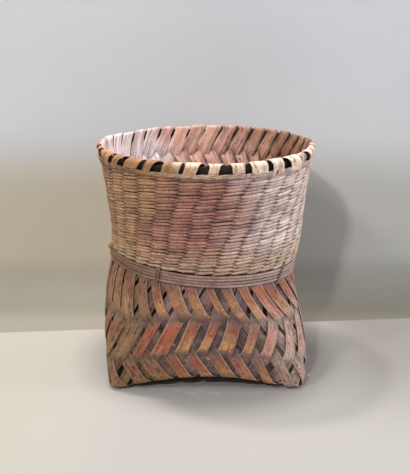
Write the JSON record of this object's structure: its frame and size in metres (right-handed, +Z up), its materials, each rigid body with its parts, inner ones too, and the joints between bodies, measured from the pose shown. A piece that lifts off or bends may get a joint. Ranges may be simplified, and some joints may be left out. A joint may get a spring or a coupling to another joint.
{
  "type": "wicker fish basket",
  "caption": "Open fish basket plaited on the bias from split strips: square arched base, bulging body, bound waist and a flaring collar wrapped in fine weft with a folded rim.",
  "frame": {"origin": "on the floor under the middle of the base", "axes": "+Z up through the mouth, -Y to the front as pictured, +X to the viewer's right"},
  "size_m": [0.1914, 0.1914, 0.1968],
  "materials": {
    "splint": "aged split bamboo, dry, with worn satin edges",
    "weft": "fine split weft, dry and weathered",
    "rod": "smooth peeled rod, satin",
    "lashing": "dark twisted bark, matt"
  },
  "bodies": {
    "root": {"strip_front_1": "splint", "strip_front_2": "splint", "strip_front_3": "splint", "strip_front_4": "splint", "strip_front_5": "splint", "strip_front_6": "splint", "strip_front_7": "splint", "strip_front_8": "splint", "strip_front_9": "splint", "strip_right_1": "splint", "strip_right_2": "splint", "strip_right_3": "splint", "strip_right_4": "splint", "strip_right_5": "splint", "strip_right_6": "splint", "strip_right_7": "splint", "strip_right_8": "splint", "strip_right_9": "splint", "strip_back_1": "splint", "strip_back_2": "splint", "strip_back_3": "splint", "strip_back_4": "splint", "strip_back_5": "splint", "strip_back_6": "splint", "strip_back_7": "splint", "strip_back_8": "splint", "strip_back_9": "splint", "strip_left_1": "splint", "strip_left_2": "splint", "strip_left_3": "splint", "strip_left_4": "splint", "strip_left_5": "splint", "strip_left_6": "splint", "strip_left_7": "splint", "strip_left_8": "splint", "strip_left_9": "splint", "waist_rod_1": "rod", "waist_rod_2": "rod", "waist_rod_3": "rod", "waist_rod_4": "rod", "rim_row_1": "weft", "rim_row_2": "weft", "rim_row_3": "weft", "weft_strand_a": "weft", "weft_strand_b": "weft", "lashing_left": "lashing", "lashing_right": "lashing", "waist_tie": "lashing"}
  },
  "joints": []
}
